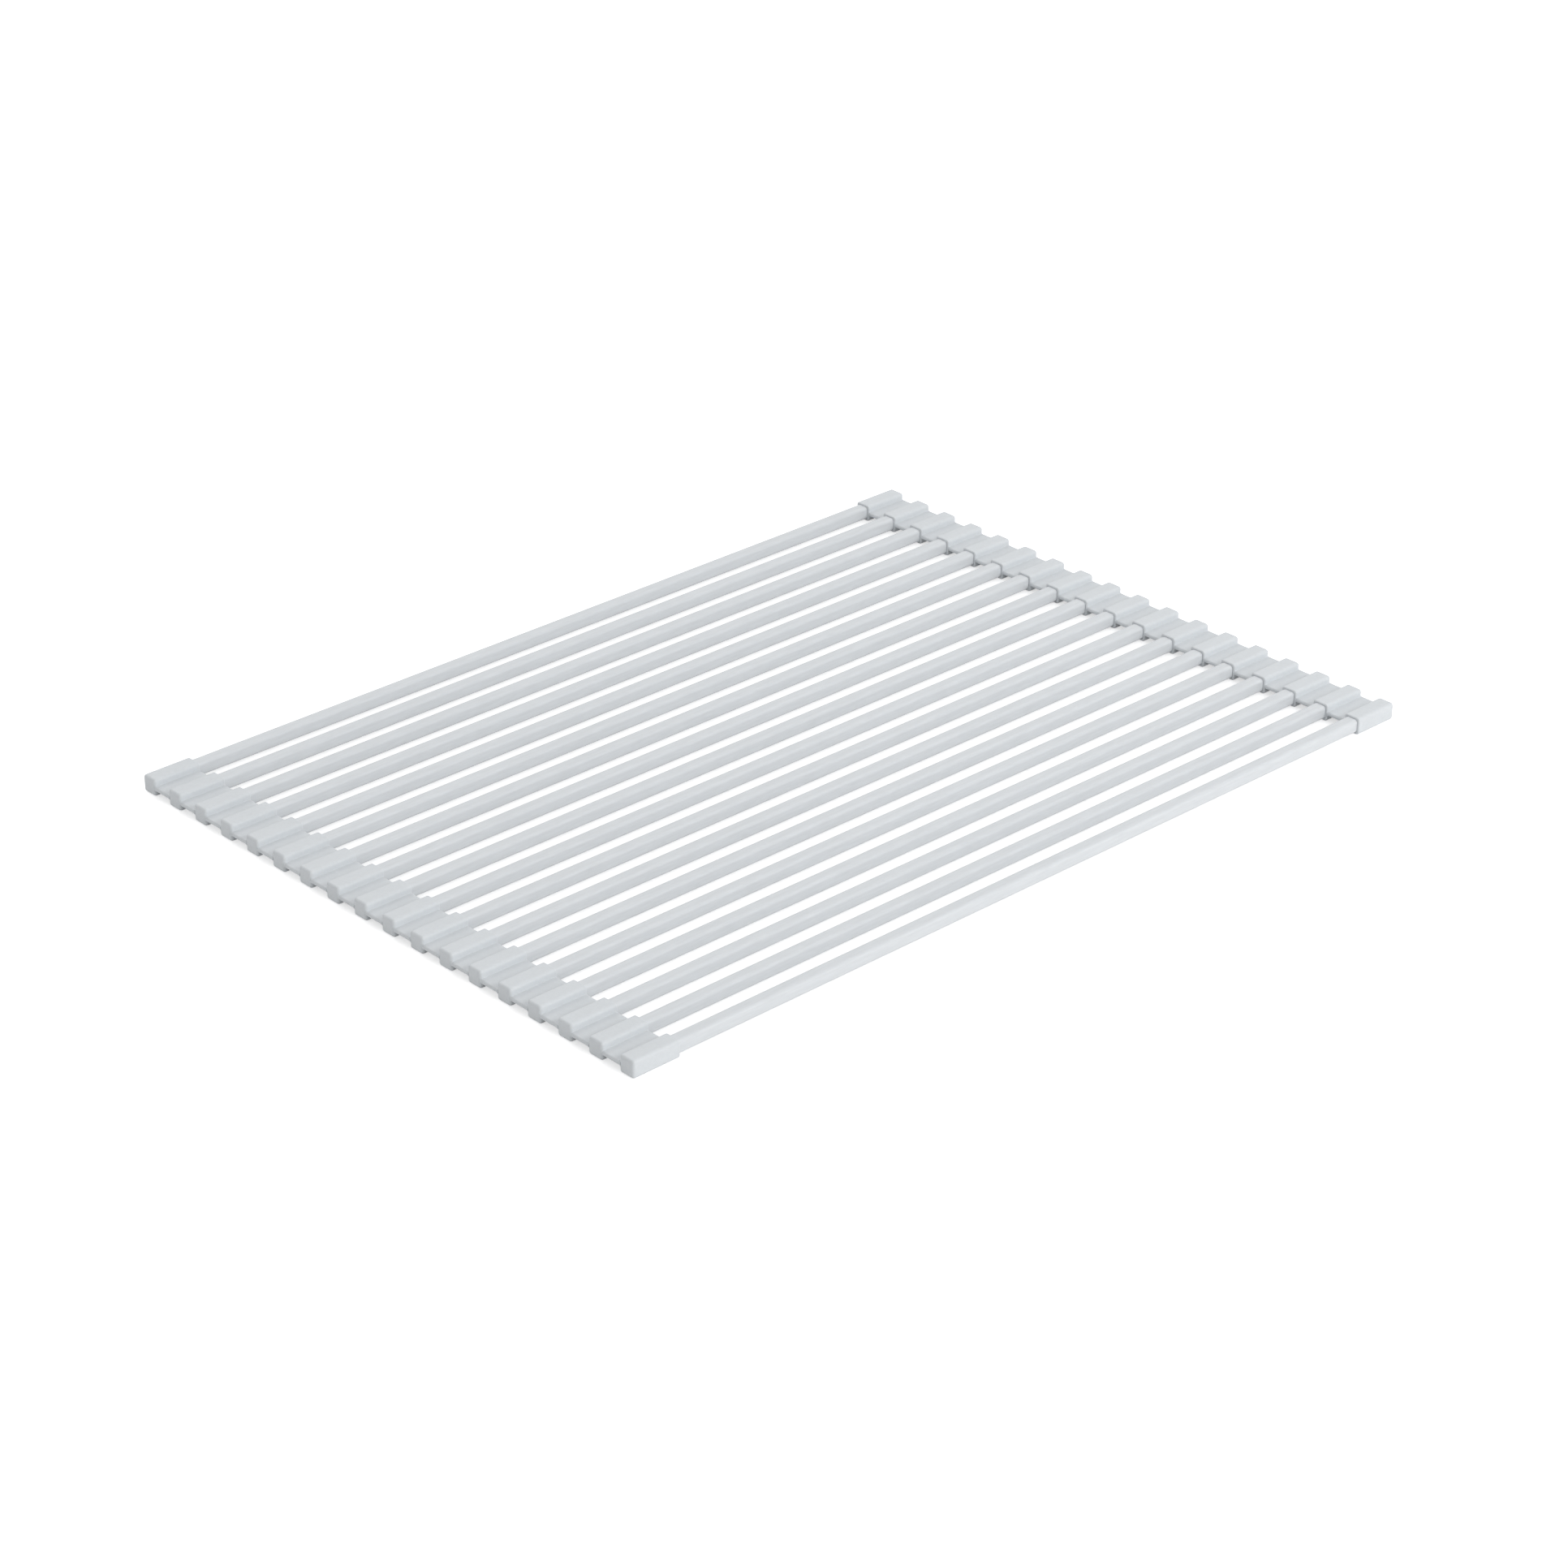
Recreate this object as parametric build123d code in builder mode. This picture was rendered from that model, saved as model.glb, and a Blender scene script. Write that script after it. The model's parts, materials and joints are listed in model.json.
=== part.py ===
# Roll up dish drying rack: square coated rods held by two flexible end strips
# Millimetres. X runs along the rods, -Y is the front edge, +Z is up.
# The origin is at the middle of the rack, on the surface it rests on.

import os
from math import radians, tan

from build123d import *

# Layout
rod_count = 18
rod_pitch = 18.4
overall_length = 450.0

# Steel tube inside each rod
tube_width = 5.0
tube_wall = 0.5
tube_corner_radius = 1.0

# Silicone coat over the tube
coat_thickness = 0.6
tube_fit_gap = 0.03

# Blocks of the end strips, with a blind socket for the rod
block_length = 24.0
socket_fit_gap = 0.05
socket_side_wall = 1.0
socket_roof = 0.9
socket_end_wall = 2.0
block_edge_radius = 1.4
outer_end_radius = 0.9
inner_end_radius = 0.6

# Webs that join the blocks, parted at their middle line where the strip bends
web_thickness = 2.0
web_middle_height = 3.8
web_root_fillet = 0.6
web_fold_gap = 0.3
web_fold_bevel = 41.0

cut_overrun = 1.0

# Sizes that follow
tube_bore = tube_width - 2 * tube_wall
tube_bore_radius = tube_corner_radius - tube_wall
coat_bore = tube_width + 2 * tube_fit_gap
coat_width = coat_bore + 2 * coat_thickness
coat_bore_radius = tube_corner_radius + tube_fit_gap
coat_corner_radius = coat_bore_radius + coat_thickness
socket_width = coat_width + 2 * socket_fit_gap
socket_radius = coat_corner_radius + socket_fit_gap
block_width = socket_width + 2 * socket_side_wall
block_height = socket_width + 2 * socket_roof
rod_height = block_height / 2
strip_outer_x = overall_length / 2
strip_inner_x = strip_outer_x - block_length
socket_depth = block_length - socket_end_wall
rod_length = 2 * (strip_outer_x - socket_end_wall - socket_fit_gap)
web_bottom = web_middle_height - web_thickness / 2
web_top = web_middle_height + web_thickness / 2
web_edge_y = (rod_pitch - web_fold_gap) / 2
web_flat_y = web_edge_y - web_thickness / 2 * tan(radians(web_fold_bevel))


def row_y(row):
    """Middle line of a row; row 1 is the rear one."""
    return ((rod_count + 1) / 2 - row) * rod_pitch


def end_plane(x):
    """Plane square to the rods, with its own x along +Y and its own y up."""
    return Plane(origin=(x, 0, 0), x_dir=(0, 1, 0), z_dir=(1, 0, 0))


def write(part, name, row):
    """Save a piece, made on the middle line of the rack, at its row."""
    placed = part.moved(Location((0, row_y(row), 0)))
    placed.label = name
    export_step(placed, f"parts/{name}.step")


def make_end_blocks(web_sides):
    """Left and right block of one row, with a half web towards the rear (1), the front (-1) or both."""
    with BuildPart() as end_blocks:
        with BuildSketch(end_plane(strip_inner_x)) as section:
            with Locations((0, block_height / 2)):
                Rectangle(block_width, block_height)
            fillet(section.vertices(), block_edge_radius)
            for side in web_sides:
                with BuildLine():
                    Polyline(
                        (0, web_bottom),
                        (side * web_flat_y, web_bottom),
                        (side * web_edge_y, web_middle_height),
                        (side * web_flat_y, web_top),
                        (0, web_top),
                        close=True,
                    )
                make_face()
                corners = section.vertices().sort_by_distance((side * block_width / 2, web_middle_height))
                fillet(corners[:2], web_root_fillet)
        extrude(amount=block_length)
        fillet(end_blocks.faces().sort_by(Axis.X)[-1].edges(), outer_end_radius)
        fillet(end_blocks.faces().sort_by(Axis.X)[0].edges(), inner_end_radius)
        with BuildSketch(end_plane(strip_inner_x - cut_overrun)):
            with Locations((0, rod_height)):
                RectangleRounded(socket_width, socket_width, socket_radius)
        extrude(amount=socket_depth + cut_overrun, mode=Mode.SUBTRACT)
        mirror(about=Plane.YZ)
    return end_blocks.part


# Steel tube inside a rod
with BuildPart() as rod_core:
    with BuildSketch(end_plane(0)):
        with Locations((0, rod_height)):
            RectangleRounded(tube_width, tube_width, tube_corner_radius)
            RectangleRounded(tube_bore, tube_bore, tube_bore_radius, mode=Mode.SUBTRACT)
    extrude(amount=rod_length / 2, both=True)

# Silicone coat over the tube
with BuildPart() as rod_coat:
    with BuildSketch(end_plane(0)):
        with Locations((0, rod_height)):
            RectangleRounded(coat_width, coat_width, coat_corner_radius)
            RectangleRounded(coat_bore, coat_bore, coat_bore_radius, mode=Mode.SUBTRACT)
    extrude(amount=rod_length / 2, both=True)

# End blocks; those of the rear and front rows have a web on their inner side only
rear_blocks = make_end_blocks([-1])
middle_blocks = make_end_blocks([1, -1])
front_blocks = make_end_blocks([1])

os.makedirs("parts", exist_ok=True)
for row in range(1, rod_count + 1):
    write(rod_core.part, f"rod_core_{row:02d}", row)
    write(rod_coat.part, f"rod_coat_{row:02d}", row)
    if row == 1:
        blocks = rear_blocks
    elif row == rod_count:
        blocks = front_blocks
    else:
        blocks = middle_blocks
    write(blocks, f"end_blocks_{row:02d}", row)
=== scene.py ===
# Roll up dish drying rack: moulded end strips, coated square rods, steel tubes and a plain studio
# Metres, in the frame of the solid model: X along the rods, -Y the front, +Z up

import json
from math import cos, pi, radians, sin

import bmesh
import bpy
from mathutils import Matrix, Vector

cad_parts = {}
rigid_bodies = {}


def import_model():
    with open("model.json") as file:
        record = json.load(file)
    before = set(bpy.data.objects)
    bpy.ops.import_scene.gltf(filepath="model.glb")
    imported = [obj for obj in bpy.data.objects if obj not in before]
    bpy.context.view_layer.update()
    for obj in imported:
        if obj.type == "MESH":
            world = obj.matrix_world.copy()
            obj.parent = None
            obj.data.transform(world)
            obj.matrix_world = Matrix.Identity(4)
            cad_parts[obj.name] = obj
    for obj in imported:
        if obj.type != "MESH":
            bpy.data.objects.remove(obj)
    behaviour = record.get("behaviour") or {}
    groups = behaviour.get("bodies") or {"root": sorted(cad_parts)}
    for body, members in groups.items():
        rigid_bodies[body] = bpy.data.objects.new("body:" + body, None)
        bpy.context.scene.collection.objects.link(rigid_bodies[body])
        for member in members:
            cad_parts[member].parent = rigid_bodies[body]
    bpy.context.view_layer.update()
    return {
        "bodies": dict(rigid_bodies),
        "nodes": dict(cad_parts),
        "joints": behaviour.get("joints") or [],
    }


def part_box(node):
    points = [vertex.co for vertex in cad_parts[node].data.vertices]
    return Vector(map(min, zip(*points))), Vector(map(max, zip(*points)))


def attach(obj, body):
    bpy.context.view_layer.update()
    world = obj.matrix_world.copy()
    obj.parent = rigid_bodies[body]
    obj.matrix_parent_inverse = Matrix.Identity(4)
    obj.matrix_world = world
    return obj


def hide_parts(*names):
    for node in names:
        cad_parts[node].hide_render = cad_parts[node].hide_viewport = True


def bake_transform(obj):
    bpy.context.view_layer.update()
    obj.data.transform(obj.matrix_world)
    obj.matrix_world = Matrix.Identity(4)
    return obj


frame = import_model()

bl_info = {
    "name": "Roll up drying rack",
    "version": (1, 0, 0),
    "blender": (4, 5, 0),
    "location": "3D View > Sidebar > Drying rack",
    "description": "Models the looks of a roll up dish drying rack around its solid model",
    "category": "Object",
}

# What the solid model says
row_names = sorted(frame["bodies"])
row_numbers = [name[-2:] for name in row_names]
row_middles = {
    name: sum((Vector(corner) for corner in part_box(f"rod_coat_{number}")), Vector()) / 2
    for name, number in zip(row_names, row_numbers)
}
first_coat_low, first_coat_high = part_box("rod_coat_01")
_, first_block_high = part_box("end_blocks_01")
rod_middle = row_middles["row_01"]
strip_outer_x = first_block_high.x
strip_inner_x = min(abs(v.co.x) for v in frame["nodes"]["end_blocks_01"].data.vertices)
block_width = 2 * (first_block_high.y - rod_middle.y)
block_height = first_block_high.z
row_pitch = row_middles["row_01"].y - row_middles["row_02"].y
web_height = frame["joints"][0]["pos_m"][2]
coat_width = first_coat_high.y - first_coat_low.y
coat_length = first_coat_high.x - first_coat_low.x

# Pieces of the strips are modelled for the right one, and turned about Z for the left one
side_turns = (("right", 0), ("left", pi))

# How fine the meshes are, and how close two places are that count as one, in metres
steps_per_round = 6
steps_per_mouth = 2
smooth_angle = radians(50)
hair = 1e-6

# Turn of each lamp from the front to the right, and its rise above the floor, in degrees
lamp_angles = {
    "front": (15, 30),
    "low": (0, 15),
    "right": (100, 45),
    "back": (180, 45),
}

# Colour of the room's light and background, and width of the camera's sensor in millimetres
white = (1, 1, 1, 1)
camera_sensor = 36

# Noise of the materials: cells per metre, detail, and stretch along X, Y and Z
patterns = {
    "strip_cloud": (60, 3, (1, 1, 1)),
    "strip_mottle": (700, 2, (1, 1, 1)),
    "strip_waves": (220, 1, (1, 1, 1)),
    "strip_grain": (2600, 2, (1, 1, 1)),
    "coat_cloud": (40, 3, (0.2, 1, 1)),
    "coat_streaks": (900, 3, (0.12, 1, 1)),
    "coat_lines": (1400, 2, (0.01, 1, 1)),
    "coat_grain": (3200, 1, (1, 1, 1)),
    "steel_cloud": (50, 3, (0.3, 1, 1)),
    "steel_lines": (2400, 3, (0.004, 1, 1)),
    "floor_fibre": (900, 3, (1, 1, 1)),
}

# Height of the bumps that a pattern makes, in metres
bump_heights = {
    "strip_waves": 0.00003,
    "strip_grain": 0.00002,
    "coat_lines": 0.00001,
    "coat_grain": 0.000008,
    "steel_lines": 0.000006,
}

# How far a colour and a roughness vary to both sides, and what part of the colour's pattern is fine
colour_change = {"strip": 0.07, "coat": 0.1, "steel": 0.06, "floor": 0.01}
roughness_change = {"strip": 0.08, "coat": 0.07, "steel": 0.1}
finer_part = {"strip": 0.6, "coat": 0.75}

# How silicone bends light, and the tint, share and depth (in metres) of what it scatters inside
silicone_ior = 1.41
scatter_tint = (1, 0.9, 0.8)
scatter_share = {"strip": 0.06, "coat": 0.1}
scatter_depth = {"strip": 0.0012, "coat": 0.0008}

# Paper of the floor
paper_roughness = (0.85, 0.95)
paper_specular = 0.1


def length(name, description, default):
    """A size in metres that a user may change."""
    return bpy.props.FloatProperty(
        name=name, description=description, default=default, min=0,
        precision=5, unit="LENGTH", subtype="DISTANCE"
    )


def share(name, description, default):
    """A number from 0 to 1 that a user may change."""
    return bpy.props.FloatProperty(
        name=name, description=description, default=default, min=0, max=1, subtype="FACTOR"
    )


def colour(name, description, default):
    """A colour that a user may change."""
    return bpy.props.FloatVectorProperty(
        name=name, description=description, default=default, size=3, min=0, max=1, subtype="COLOR"
    )


def power(name, description, default):
    """A lamp's power in watts that a user may change."""
    return bpy.props.FloatProperty(
        name=name, description=description, default=default, min=0, unit="POWER"
    )


class RackStripSizes(bpy.types.PropertyGroup):
    """Sizes of the two moulded end strips"""

    edge_radius: length("Edge radius", "Rounding of a block's long edges and outer end", 0.0014)
    inner_end_radius: length("Inner end radius", "Rounding of a block's inner end", 0.0006)
    socket_width: length("Socket width", "Width and height of the socket for the rod", 0.00636)
    socket_radius: length("Socket corner radius", "Rounding of the socket's corners", 0.00145)
    socket_depth: length("Socket depth", "How far the rod goes into the block", 0.022)
    mouth_radius: length("Socket mouth radius", "Rounding of the socket's mouth", 0.00012)
    web_thickness: length("Web thickness", "Thickness of the webs between the blocks", 0.002)
    web_root_radius: length("Web root radius", "Hollow rounding where a web meets a block", 0.00025)
    web_nose_radius: length("Web nose radius", "Rounding of a web's inner and outer end", 0.0009)
    web_seat: length("Web seat", "How far a web reaches into the wall of a block", 0.0005)
    web_parts: bpy.props.IntProperty(
        name="Web parts", description="Strips that a web is divided into so that it bends",
        default=16, min=4
    )


class RackRodSizes(bpy.types.PropertyGroup):
    """Sizes of the coats over the steel tubes"""

    corner_radius: length("Coat corner radius", "Outer rounding of a coat's long edges", 0.0014)
    wall: length("Coat wall", "Thickness of the silicone coat", 0.0006)


class RackFinish(bpy.types.PropertyGroup):
    """Colours and gloss of the rack"""

    strip_colour: colour("Strip colour", "Moulded silicone of the end strips", (0.68, 0.708, 0.73))
    strip_roughness: share("Strip roughness", "Gloss of the end strips, 1 is dull", 0.52)
    coat_colour: colour("Coat colour", "Silicone coat of the rods", (0.69, 0.714, 0.735))
    coat_roughness: share("Coat roughness", "Gloss of the coats, 1 is dull", 0.45)
    steel_colour: colour("Steel colour", "Drawn steel of the tubes", (0.62, 0.61, 0.59))
    steel_roughness: share("Steel roughness", "Gloss of the tubes, 1 is dull", 0.32)


class RackStudio(bpy.types.PropertyGroup):
    """Camera, lamps and floor"""

    camera_aim: bpy.props.FloatVectorProperty(
        name="Camera aim", description="Point on the floor in the middle of the picture",
        default=(-0.0176, -0.0219, 0), size=3,
        precision=5, unit="LENGTH", subtype="TRANSLATION"
    )
    camera_distance: length("Camera distance", "From the camera to its aim", 1.8106)
    camera_turn: bpy.props.FloatProperty(
        name="Camera turn", description="Angle from the front, to the left",
        default=radians(42.99), subtype="ANGLE"
    )
    camera_rise: bpy.props.FloatProperty(
        name="Camera rise", description="Angle above the floor",
        default=radians(27.844), subtype="ANGLE"
    )
    camera_roll: bpy.props.FloatProperty(
        name="Camera roll", description="Turn about the camera's own axis",
        default=radians(0.176), subtype="ANGLE"
    )
    camera_lens: bpy.props.FloatProperty(
        name="Lens", description="Focal length in millimetres for a 36 mm sensor",
        default=95.95, min=1
    )
    room_light: bpy.props.FloatProperty(
        name="Room light", description="Strength of the even light from all round",
        default=0.535, min=0
    )
    lamp_distance: length("Lamp distance", "From the middle of the rack to each soft lamp", 2.4)
    lamp_width: length("Lamp width", "Width of each soft lamp", 1.4)
    lamp_height: length("Lamp height", "Height of each soft lamp", 1.0)
    front_power: power("Front lamp", "Power of the lamp in front", 23)
    low_power: power("Low lamp", "Power of the lamp low in front", 3.5)
    right_power: power("Right lamp", "Power of the high lamp on the right", 5.6)
    back_power: power("Back lamp", "Power of the high lamp behind", 10.9)
    floor_colour: colour("Floor colour", "Pale paper under the rack", (0.86, 0.86, 0.86))
    floor_lift: share(
        "Floor lift", "Light that the floor adds for the camera and for reflections alone", 0.55
    )
    floor_width: length("Floor width", "Side of the square sheet of paper", 3.6)


def add_box(name, low, high):
    """Add a box between two corners and make it the only selected object."""
    low, high = Vector(low), Vector(high)
    bpy.ops.object.select_all(action="DESELECT")
    bpy.ops.mesh.primitive_cube_add(size=1, location=(low + high) / 2, scale=high - low)
    bpy.ops.object.transform_apply(location=True, rotation=True, scale=True)
    piece = bpy.context.object
    piece.name = name
    return piece


def select_edges(test):
    """In edit mode, select only the edges whose two ends pass the test."""
    bpy.ops.mesh.select_mode(type="EDGE")
    bpy.ops.mesh.select_all(action="DESELECT")
    mesh = bmesh.from_edit_mesh(bpy.context.object.data)
    for edge in mesh.edges:
        if test(edge.verts[0].co, edge.verts[1].co):
            edge.select_set(True)
    bmesh.update_edit_mesh(bpy.context.object.data)


def select_faces(test):
    """In edit mode, select only the faces whose middle passes the test."""
    bpy.ops.mesh.select_mode(type="FACE")
    bpy.ops.mesh.select_all(action="DESELECT")
    mesh = bmesh.from_edit_mesh(bpy.context.object.data)
    for face in mesh.faces:
        if test(face.calc_center_median()):
            face.select_set(True)
    bmesh.update_edit_mesh(bpy.context.object.data)


def near(a, b):
    """Whether two places along an axis are the same."""
    return abs(a - b) < hair


def along_x(a, b):
    """An edge along the rods."""
    return near(a.y, b.y) and near(a.z, b.z)


def across_x(a, b, x):
    """An edge in the plane at a place along the rods."""
    return near(a.x, x) and near(b.x, x)


def round_edges(test, radius, segments=steps_per_round):
    """In edit mode, round the edges that pass the test."""
    select_edges(test)
    bpy.ops.mesh.bevel(
        offset=radius, offset_type="OFFSET", segments=segments, profile=0.5, affect="EDGES"
    )


def finish_shape(piece):
    """Smooth the rounded parts and keep the flats flat."""
    bpy.ops.object.select_all(action="DESELECT")
    piece.select_set(True)
    bpy.context.view_layer.objects.active = piece
    bpy.ops.object.shade_smooth_by_angle(angle=smooth_angle)
    bpy.ops.object.modifier_add(type="WEIGHTED_NORMAL")
    bpy.context.object.modifiers[-1].keep_sharp = True
    bpy.ops.object.modifier_apply(modifier=bpy.context.object.modifiers[-1].name)


def copy_piece(source, name, place):
    """A copy with its own mesh, moved by a matrix that goes into the mesh."""
    piece = source.copy()
    piece.data = source.data.copy()
    piece.name = piece.data.name = name
    piece.data.transform(place)
    bpy.context.collection.objects.link(piece)
    return piece


def paint(piece, material):
    """Give a piece one material."""
    piece.data.materials.clear()
    piece.data.materials.append(material)


def remove(piece):
    """Delete a shape that only served for copying or cutting."""
    mesh = piece.data
    bpy.data.objects.remove(piece)
    bpy.data.meshes.remove(mesh)


def model_end_block(sizes):
    """A right-hand end block about the middle line y = 0, with a blind socket for the rod."""
    half = block_width / 2
    block = add_box("end_block", (strip_inner_x, -half, 0), (strip_outer_x, half, block_height))
    bpy.ops.object.mode_set(mode="EDIT")
    round_edges(lambda a, b: along_x(a, b) or across_x(a, b, strip_outer_x), sizes.edge_radius)
    round_edges(lambda a, b: across_x(a, b, strip_inner_x), sizes.inner_end_radius)
    bpy.ops.object.mode_set(mode="OBJECT")

    half_hole = sizes.socket_width / 2
    reach = strip_inner_x + sizes.socket_depth
    socket = add_box("socket",
                     (strip_inner_x - sizes.web_seat, -half_hole, rod_middle.z - half_hole),
                     (reach, half_hole, rod_middle.z + half_hole))
    bpy.ops.object.mode_set(mode="EDIT")
    round_edges(along_x, sizes.socket_radius)
    bpy.ops.object.mode_set(mode="OBJECT")

    bpy.ops.object.select_all(action="DESELECT")
    block.select_set(True)
    bpy.context.view_layer.objects.active = block
    bpy.ops.object.modifier_add(type="BOOLEAN")
    cut = block.modifiers[-1]
    cut.operation, cut.solver, cut.object = "DIFFERENCE", "EXACT", socket
    bpy.ops.object.modifier_apply(modifier=cut.name)
    remove(socket)
    bpy.ops.object.mode_set(mode="EDIT")
    bpy.ops.mesh.select_all(action="SELECT")
    bpy.ops.mesh.remove_doubles(threshold=hair)

    def at_mouth(p):
        off_middle = max(abs(p.y), abs(p.z - rod_middle.z))
        return near(p.x, strip_inner_x) and off_middle < half_hole + hair

    round_edges(lambda a, b: at_mouth(a) and at_mouth(b), sizes.mouth_radius, steps_per_mouth)
    bpy.ops.object.mode_set(mode="OBJECT")
    finish_shape(block)
    return block


def model_web(sizes):
    """A right-hand web about its bending line y = 0, flared at both ends to meet the blocks."""
    half_gap = (row_pitch - block_width) / 2
    half_flat = half_gap - sizes.web_root_radius
    half_thick = sizes.web_thickness / 2
    web = add_box("web", (strip_inner_x, -half_flat, web_height - half_thick),
                  (strip_outer_x, half_flat, web_height + half_thick))
    bpy.ops.object.mode_set(mode="EDIT")
    select_edges(lambda a, b: near(a.x, b.x) and near(a.z, b.z))
    bpy.ops.mesh.subdivide(number_cuts=sizes.web_parts - 1)
    for side in (-1, 1):
        y, thick = half_flat, half_thick
        for step in range(1, steps_per_round + 1):
            angle = step / steps_per_round * pi / 2
            next_y = half_flat + sizes.web_root_radius * sin(angle)
            next_thick = half_thick + sizes.web_root_radius * (1 - cos(angle))
            select_faces(lambda p: near(p.y, side * y))
            step_out = (0, side * (next_y - y), 0)
            bpy.ops.mesh.extrude_region_move(TRANSFORM_OT_translate={"value": step_out})
            bpy.ops.transform.resize(value=(1, 1, next_thick / thick),
                                     center_override=(strip_inner_x, side * next_y, web_height))
            y, thick = next_y, next_thick
        select_faces(lambda p: near(p.y, side * y))
        step_in = (0, side * sizes.web_seat, 0)
        bpy.ops.mesh.extrude_region_move(TRANSFORM_OT_translate={"value": step_in})
    ends = (strip_inner_x, strip_outer_x)
    round_edges(lambda a, b: not near(a.y, b.y) and any(across_x(a, b, x) for x in ends),
                sizes.web_nose_radius)
    bpy.ops.object.mode_set(mode="OBJECT")
    finish_shape(web)
    return web


def model_coat(sizes):
    """A coat about the middle of the rack: a square sleeve with rounded long edges."""
    half = coat_width / 2
    coat = add_box("coat", (-coat_length / 2, -half, rod_middle.z - half),
                   (coat_length / 2, half, rod_middle.z + half))
    bpy.ops.object.mode_set(mode="EDIT")
    round_edges(along_x, sizes.corner_radius)
    select_faces(lambda p: near(abs(p.x), coat_length / 2))
    bpy.ops.mesh.inset(thickness=sizes.wall, use_individual=True)
    select_faces(lambda p: near(abs(p.x), coat_length / 2) and near(p.y, 0)
                 and near(p.z, rod_middle.z))
    bpy.ops.mesh.bridge_edge_loops()
    bpy.ops.object.mode_set(mode="OBJECT")
    finish_shape(coat)
    return coat


class RACK_OT_end_blocks(bpy.types.Operator):
    """Model the end block with its socket and copy it to both ends of every row"""

    bl_idname = "rack.end_blocks"
    bl_label = "End blocks"

    def execute(self, context):
        block = model_end_block(context.scene.rack_strips)
        silicone = moulded_silicone(context.scene.rack_finish)
        for row, number in zip(row_names, row_numbers):
            for side, turn in side_turns:
                to_row = Matrix.Translation((0, row_middles[row].y, 0))
                place = to_row @ Matrix.Rotation(turn, 4, "Z")
                piece = copy_piece(block, f"{side}_block_{number}", place)
                paint(piece, silicone)
                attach(piece, row)
                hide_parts(f"end_blocks_{number}")
        remove(block)
        return {"FINISHED"}


class RACK_OT_webs(bpy.types.Operator):
    """Model the flexible web and copy it between the blocks of both strips"""

    bl_idname = "rack.webs"
    bl_label = "Webs"

    def execute(self, context):
        sizes = context.scene.rack_strips
        web = model_web(sizes)
        silicone = moulded_silicone(context.scene.rack_finish)
        for joint in frame["joints"]:
            middle = Vector(joint["pos_m"])
            for side, turn in side_turns:
                place = Matrix.Translation((0, middle.y, 0)) @ Matrix.Rotation(turn, 4, "Z")
                piece = copy_piece(web, f"{side}_web_{joint['name'][-2:]}", place)
                paint(piece, silicone)
                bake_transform(piece)
        remove(web)
        return {"FINISHED"}


class RACK_OT_coats(bpy.types.Operator):
    """Model the silicone coat and copy it to every rod"""

    bl_idname = "rack.coats"
    bl_label = "Rod coats"

    def execute(self, context):
        coat = model_coat(context.scene.rack_rods)
        silicone = drawn_silicone(context.scene.rack_finish)
        for row, number in zip(row_names, row_numbers):
            place = Matrix.Translation((0, row_middles[row].y, 0))
            piece = copy_piece(coat, f"coat_{number}", place)
            paint(piece, silicone)
            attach(piece, row)
            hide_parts(f"rod_coat_{number}")
        remove(coat)
        return {"FINISHED"}


class RACK_OT_tubes(bpy.types.Operator):
    """Give the steel tubes inside the rods their drawn finish"""

    bl_idname = "rack.tubes"
    bl_label = "Steel tubes"

    def execute(self, context):
        steel = drawn_steel(context.scene.rack_finish)
        for number in row_numbers:
            paint(frame["nodes"][f"rod_core_{number}"], steel)
        return {"FINISHED"}


def new_material(name):
    """An empty material with an output, a shader and Object coordinates."""
    material = bpy.data.materials.new(name)
    material.use_nodes = True
    nodes = material.node_tree.nodes
    nodes.clear()
    output = nodes.new("ShaderNodeOutputMaterial")
    shader = nodes.new("ShaderNodeBsdfPrincipled")
    place = nodes.new("ShaderNodeTexCoord")
    material.node_tree.links.new(shader.outputs["BSDF"], output.inputs["Surface"])
    return material, shader, place


def noise(material, place, pattern):
    """A named pattern of noise on Object coordinates."""
    cells, detail, stretch = patterns[pattern]
    nodes, links = material.node_tree.nodes, material.node_tree.links
    mapping = nodes.new("ShaderNodeMapping")
    mapping.inputs["Scale"].default_value = stretch
    texture = nodes.new("ShaderNodeTexNoise")
    texture.inputs["Scale"].default_value = cells
    texture.inputs["Detail"].default_value = detail
    links.new(place.outputs["Object"], mapping.inputs["Vector"])
    links.new(mapping.outputs["Vector"], texture.inputs["Vector"])
    return texture.outputs["Fac"]


def spread(material, value, low, high):
    """Map a 0 to 1 value to a range."""
    node = material.node_tree.nodes.new("ShaderNodeMapRange")
    node.inputs["To Min"].default_value = low
    node.inputs["To Max"].default_value = high
    material.node_tree.links.new(value, node.inputs["Value"])
    return node.outputs["Result"]


def both(material, first, second, part):
    """One value made of two, with a part from 0 to 1 of the second."""
    node = material.node_tree.nodes.new("ShaderNodeMix")
    node.inputs["Factor"].default_value = part
    material.node_tree.links.new(first, node.inputs["A"])
    material.node_tree.links.new(second, node.inputs["B"])
    return node.outputs["Result"]


def tint(material, value, base, change):
    """A colour that a 0 to 1 value shifts a little darker and lighter."""
    node = material.node_tree.nodes.new("ShaderNodeMix")
    node.data_type = "RGBA"
    node.inputs["A"].default_value = (*[c * (1 - change) for c in base], 1)
    node.inputs["B"].default_value = (*[min(1, c * (1 + change)) for c in base], 1)
    material.node_tree.links.new(value, node.inputs["Factor"])
    return node.outputs["Result"]


def bump(material, value, pattern, below=None):
    """A bump with the height of a named pattern, over another bump."""
    node = material.node_tree.nodes.new("ShaderNodeBump")
    node.inputs["Strength"].default_value = 1
    node.inputs["Distance"].default_value = bump_heights[pattern]
    material.node_tree.links.new(value, node.inputs["Height"])
    if below:
        material.node_tree.links.new(below, node.inputs["Normal"])
    return node.outputs["Normal"]


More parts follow.
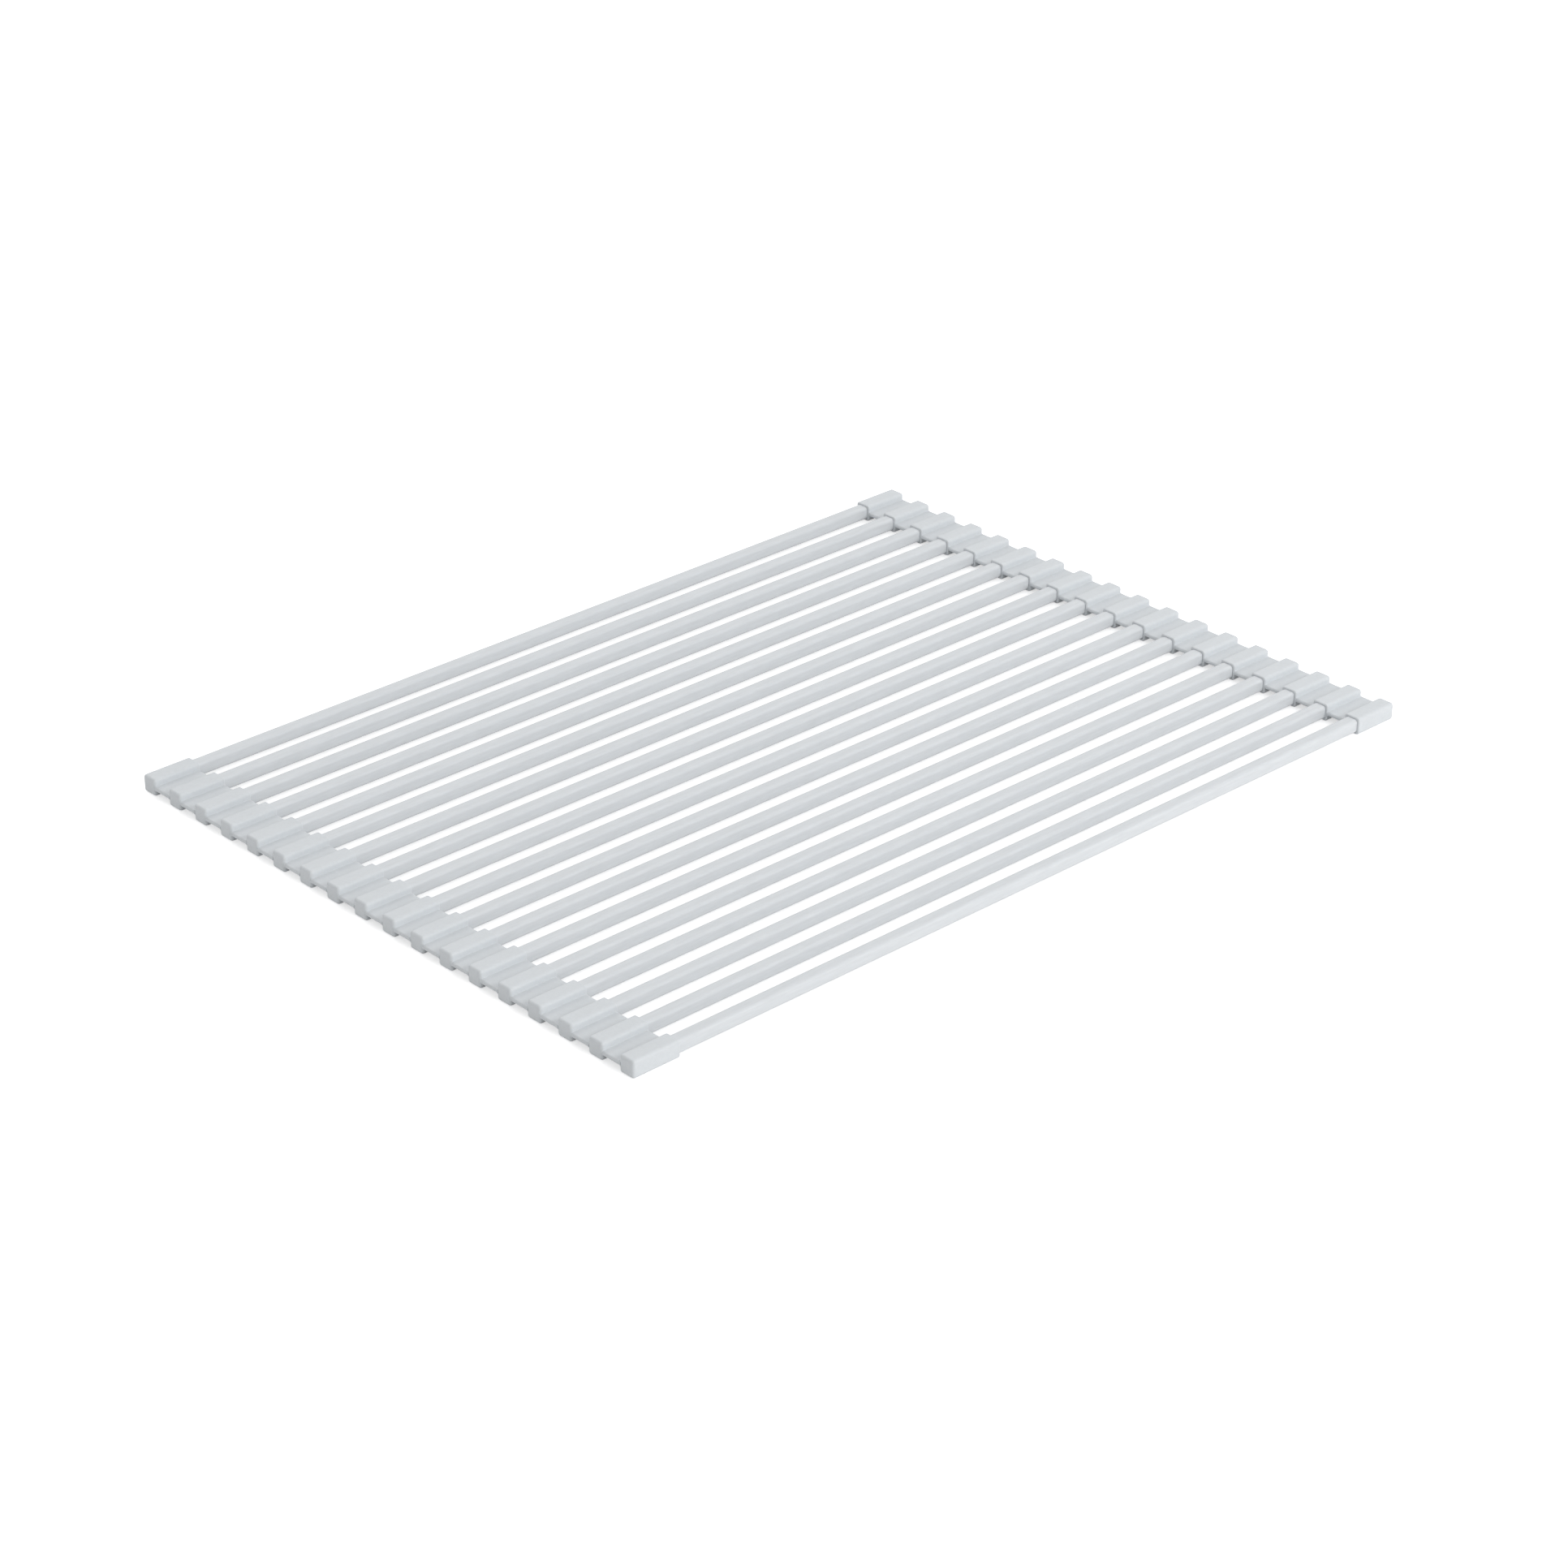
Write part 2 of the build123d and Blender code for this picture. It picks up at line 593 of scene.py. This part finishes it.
def scatter(shader, kind):
    """Let a little light into the silicone."""
    shader.inputs["Subsurface Weight"].default_value = scatter_share[kind]
    shader.inputs["Subsurface Radius"].default_value = scatter_tint
    shader.inputs["Subsurface Scale"].default_value = scatter_depth[kind]
    shader.inputs["IOR"].default_value = silicone_ior


def vary_roughness(material, shader, value, kind, middle):
    """Let the gloss vary with a pattern."""
    change = roughness_change[kind]
    result = spread(material, value, middle - change, middle + change)
    material.node_tree.links.new(result, shader.inputs["Roughness"])


def moulded_silicone(finish):
    """Matt moulded silicone with the fine grain of an eroded mould."""
    material = bpy.data.materials.get("moulded_silicone")
    if material:
        return material
    material, shader, place = new_material("moulded_silicone")
    link = material.node_tree.links.new
    cloud = noise(material, place, "strip_cloud")
    grain = noise(material, place, "strip_grain")
    waves = noise(material, place, "strip_waves")
    mottle = noise(material, place, "strip_mottle")
    blotches = both(material, cloud, mottle, finer_part["strip"])
    shade = tint(material, blotches, finish.strip_colour, colour_change["strip"])
    relief = bump(material, grain, "strip_grain", bump(material, waves, "strip_waves"))
    link(shade, shader.inputs["Base Color"])
    link(relief, shader.inputs["Normal"])
    vary_roughness(material, shader, grain, "strip", finish.strip_roughness)
    scatter(shader, "strip")
    return material


def drawn_silicone(finish):
    """Smooth silicone drawn over the tube, with faint lines along the rod."""
    material, shader, place = new_material("drawn_silicone")
    link = material.node_tree.links.new
    cloud = noise(material, place, "coat_cloud")
    lines = noise(material, place, "coat_lines")
    grain = noise(material, place, "coat_grain")
    streaks = noise(material, place, "coat_streaks")
    blotches = both(material, cloud, streaks, finer_part["coat"])
    shade = tint(material, blotches, finish.coat_colour, colour_change["coat"])
    relief = bump(material, grain, "coat_grain", bump(material, lines, "coat_lines"))
    link(shade, shader.inputs["Base Color"])
    link(relief, shader.inputs["Normal"])
    vary_roughness(material, shader, lines, "coat", finish.coat_roughness)
    scatter(shader, "coat")
    return material


def drawn_steel(finish):
    """Stainless steel tube with drawing lines along it."""
    material, shader, place = new_material("drawn_steel")
    link = material.node_tree.links.new
    lines = noise(material, place, "steel_lines")
    cloud = noise(material, place, "steel_cloud")
    shade = tint(material, cloud, finish.steel_colour, colour_change["steel"])
    link(shade, shader.inputs["Base Color"])
    link(bump(material, lines, "steel_lines"), shader.inputs["Normal"])
    vary_roughness(material, shader, lines, "steel", finish.steel_roughness)
    shader.inputs["Metallic"].default_value = 1
    return material


def seen_rays(tree):
    """1 for the rays that show a background: those of the camera, of gloss and of transmission."""
    rays = tree.nodes.new("ShaderNodeLightPath")
    seen = rays.outputs["Is Camera Ray"]
    for kind in ("Is Glossy Ray", "Is Transmission Ray"):
        either = tree.nodes.new("ShaderNodeMath")
        either.operation = "MAXIMUM"
        tree.links.new(seen, either.inputs[0])
        tree.links.new(rays.outputs[kind], either.inputs[1])
        seen = either.outputs["Value"]
    return seen


def pale_floor(studio):
    """White paper that keeps shadows and looks white to the camera."""
    material, shader, place = new_material("pale_floor")
    nodes, link = material.node_tree.nodes, material.node_tree.links.new
    fibre = noise(material, place, "floor_fibre")
    shade = tint(material, fibre, studio.floor_colour, colour_change["floor"])
    link(shade, shader.inputs["Base Color"])
    link(spread(material, fibre, *paper_roughness), shader.inputs["Roughness"])
    shader.inputs["Specular IOR Level"].default_value = paper_specular
    lift = nodes.new("ShaderNodeEmission")
    strength = nodes.new("ShaderNodeMath")
    strength.operation = "MULTIPLY"
    strength.inputs[1].default_value = studio.floor_lift
    add = nodes.new("ShaderNodeAddShader")
    link(seen_rays(material.node_tree), strength.inputs[0])
    link(strength.outputs["Value"], lift.inputs["Strength"])
    link(shader.outputs["BSDF"], add.inputs[0])
    link(lift.outputs["Emission"], add.inputs[1])
    output = next(node for node in nodes if node.type == "OUTPUT_MATERIAL")
    link(add.outputs["Shader"], output.inputs["Surface"])
    return material


def add_floor(studio):
    """A wide sheet of pale paper on which the rack rests."""
    bpy.ops.object.select_all(action="DESELECT")
    bpy.ops.mesh.primitive_plane_add(size=studio.floor_width, location=(0, 0, 0))
    floor = bpy.context.object
    floor.name = "floor"
    paint(floor, pale_floor(studio))


def add_lamp(name, turn, rise, watts, studio):
    """A large soft lamp that looks at the middle of the rack."""
    way = Vector((sin(turn) * cos(rise), -cos(turn) * cos(rise), sin(rise)))
    bpy.ops.object.light_add(type="AREA", location=studio.lamp_distance * way)
    lamp = bpy.context.object
    lamp.name = name
    lamp.rotation_euler = (-way).to_track_quat("-Z", "Y").to_euler()
    lamp.data.shape = "RECTANGLE"
    lamp.data.size, lamp.data.size_y = studio.lamp_width, studio.lamp_height
    lamp.data.energy = watts


def light_room(scene, strength):
    """Even light from all round, and a white background for the camera."""
    world = bpy.data.worlds.new("room")
    scene.world = world
    world.use_nodes = True
    nodes, link = world.node_tree.nodes, world.node_tree.links.new
    nodes.clear()
    output = nodes.new("ShaderNodeOutputWorld")
    shown = nodes.new("ShaderNodeBackground")
    lit = nodes.new("ShaderNodeBackground")
    mix = nodes.new("ShaderNodeMixShader")
    shown.inputs["Color"].default_value = white
    lit.inputs["Color"].default_value = white
    lit.inputs["Strength"].default_value = strength
    link(seen_rays(world.node_tree), mix.inputs["Fac"])
    link(lit.outputs["Background"], mix.inputs[1])
    link(shown.outputs["Background"], mix.inputs[2])
    link(mix.outputs["Shader"], output.inputs["Surface"])


def add_camera(scene, studio):
    """A camera at the photograph's angle."""
    turn, rise = studio.camera_turn, studio.camera_rise
    back = Vector((-sin(turn) * cos(rise), -cos(turn) * cos(rise), sin(rise)))
    bpy.ops.object.camera_add(location=Vector(studio.camera_aim) + studio.camera_distance * back)
    camera = bpy.context.object
    camera.rotation_mode = "QUATERNION"
    roll = Matrix.Rotation(studio.camera_roll, 4, "Z").to_quaternion()
    camera.rotation_quaternion = (-back).to_track_quat("-Z", "Y") @ roll
    camera.data.sensor_width = camera_sensor
    camera.data.lens = studio.camera_lens
    scene.camera = camera


class RACK_OT_studio(bpy.types.Operator):
    """Add the pale floor, the soft lamps and the camera"""

    bl_idname = "rack.studio"
    bl_label = "Studio"

    def execute(self, context):
        scene, studio = context.scene, context.scene.rack_studio
        add_floor(studio)
        light_room(scene, studio.room_light)
        for name, (turn, rise) in lamp_angles.items():
            watts = getattr(studio, f"{name}_power")
            add_lamp(f"{name}_lamp", radians(turn), radians(rise), watts, studio)
        add_camera(scene, studio)
        scene.view_settings.view_transform = "Standard"
        return {"FINISHED"}


steps = (RACK_OT_end_blocks, RACK_OT_webs, RACK_OT_coats, RACK_OT_tubes, RACK_OT_studio)


class RACK_PT_panel(bpy.types.Panel):
    """Steps that build the rack"""

    bl_idname = "RACK_PT_panel"
    bl_label = "Drying rack"
    bl_space_type = "VIEW_3D"
    bl_region_type = "UI"
    bl_category = "Drying rack"

    def draw(self, context):
        for step in steps:
            self.layout.operator(step.bl_idname)
        for group in (context.scene.rack_strips, context.scene.rack_rods,
                      context.scene.rack_finish, context.scene.rack_studio):
            box = self.layout.box()
            for name in group.__annotations__:
                box.prop(group, name)


groups = {
    "rack_strips": RackStripSizes,
    "rack_rods": RackRodSizes,
    "rack_finish": RackFinish,
    "rack_studio": RackStudio,
}


def register():
    for item in (*groups.values(), *steps, RACK_PT_panel):
        bpy.utils.register_class(item)
    for name, group in groups.items():
        setattr(bpy.types.Scene, name, bpy.props.PointerProperty(type=group))


def unregister():
    for name in groups:
        delattr(bpy.types.Scene, name)
    for item in (RACK_PT_panel, *reversed(steps), *reversed(list(groups.values()))):
        bpy.utils.unregister_class(item)


def main():
    register()
    bpy.ops.rack.end_blocks()
    bpy.ops.rack.webs()
    bpy.ops.rack.coats()
    bpy.ops.rack.tubes()
    bpy.ops.rack.studio()


if __name__ == "__main__":
    main()
